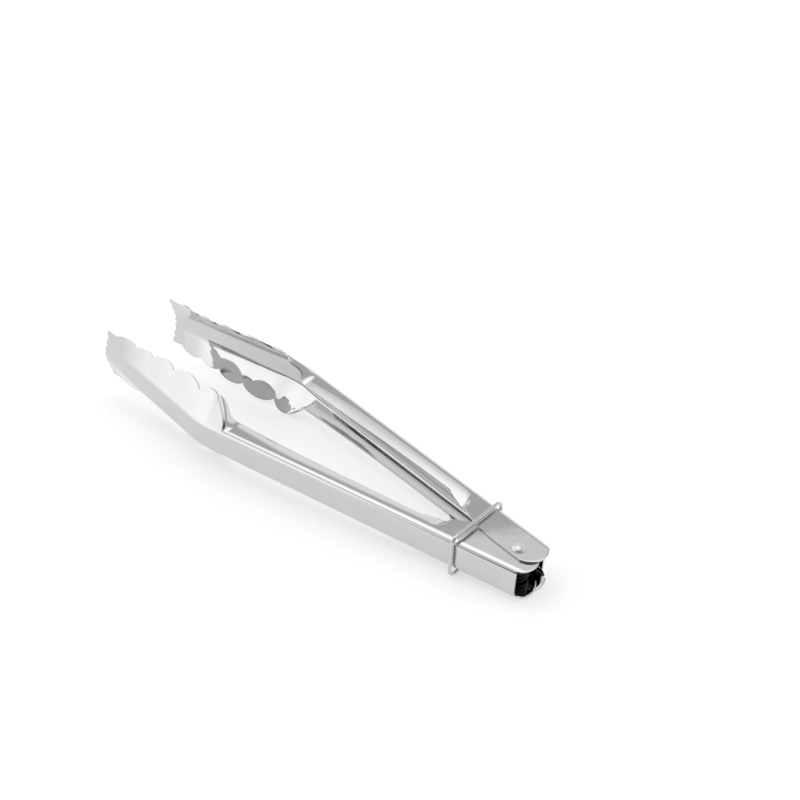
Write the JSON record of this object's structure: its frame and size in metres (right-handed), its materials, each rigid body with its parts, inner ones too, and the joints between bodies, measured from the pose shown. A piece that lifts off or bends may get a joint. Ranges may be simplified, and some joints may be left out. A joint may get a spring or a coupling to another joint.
{
  "type": "spring loaded kitchen tongs",
  "caption": "Spring loaded kitchen tongs of pressed stainless sheet: scalloped grip heads on channel handles, riveted hinge with a coiled spring, and a sliding wire ring that locks them shut.",
  "frame": {"origin": "bottom centre of the bounding box of the open tongs lying on their side", "axes": "+X from the hinge along the middle line to the grip ends, +Y from the outer arm to the inner arm, +Z along the rivet"},
  "size_m": [0.2416, 0.0638, 0.0371],
  "materials": {
    "polished_sheet": "mirror polished stainless sheet",
    "rivet_steel": "bright tumbled stainless",
    "spring_steel": "blackened spring wire",
    "ring_wire": "bright drawn stainless wire"
  },
  "bodies": {
    "pivot": {"pivot_rivet": "rivet_steel", "torsion_spring": "spring_steel"},
    "inner": {"inner_arm": "polished_sheet"},
    "outer": {"outer_arm": "polished_sheet"},
    "ring": {"lock_ring": "ring_wire"}
  },
  "joints": [
    {"name": "outer_arm_hinge", "type": "hinge", "parent": "pivot", "child": "outer", "pos_m": [-0.11, 0, 0.01855], "axis": [0, 0, 1], "range_deg": [0, 4.5], "stiffness_Nm_per_rad": 0.3, "springref_deg": -11.46, "deforming": ["torsion_spring"]},
    {"name": "inner_arm_hinge", "type": "hinge", "parent": "pivot", "child": "inner", "pos_m": [-0.11, 0, 0.01855], "axis": [0, 0, 1], "range_deg": [-4.5, 0], "stiffness_Nm_per_rad": 0.3, "springref_deg": 11.46},
    {"name": "ring_slide", "type": "slide", "parent": "pivot", "child": "ring", "axis": [1, 0, 0], "range_m": [0, 0.033]}
  ],
  "couplings": [
    {"joint": "inner_arm_hinge", "follows": "outer_arm_hinge", "ratio": -1},
    {"joint": "ring_slide", "follows": "outer_arm_hinge", "m_per_rad": 0.42016}
  ]
}
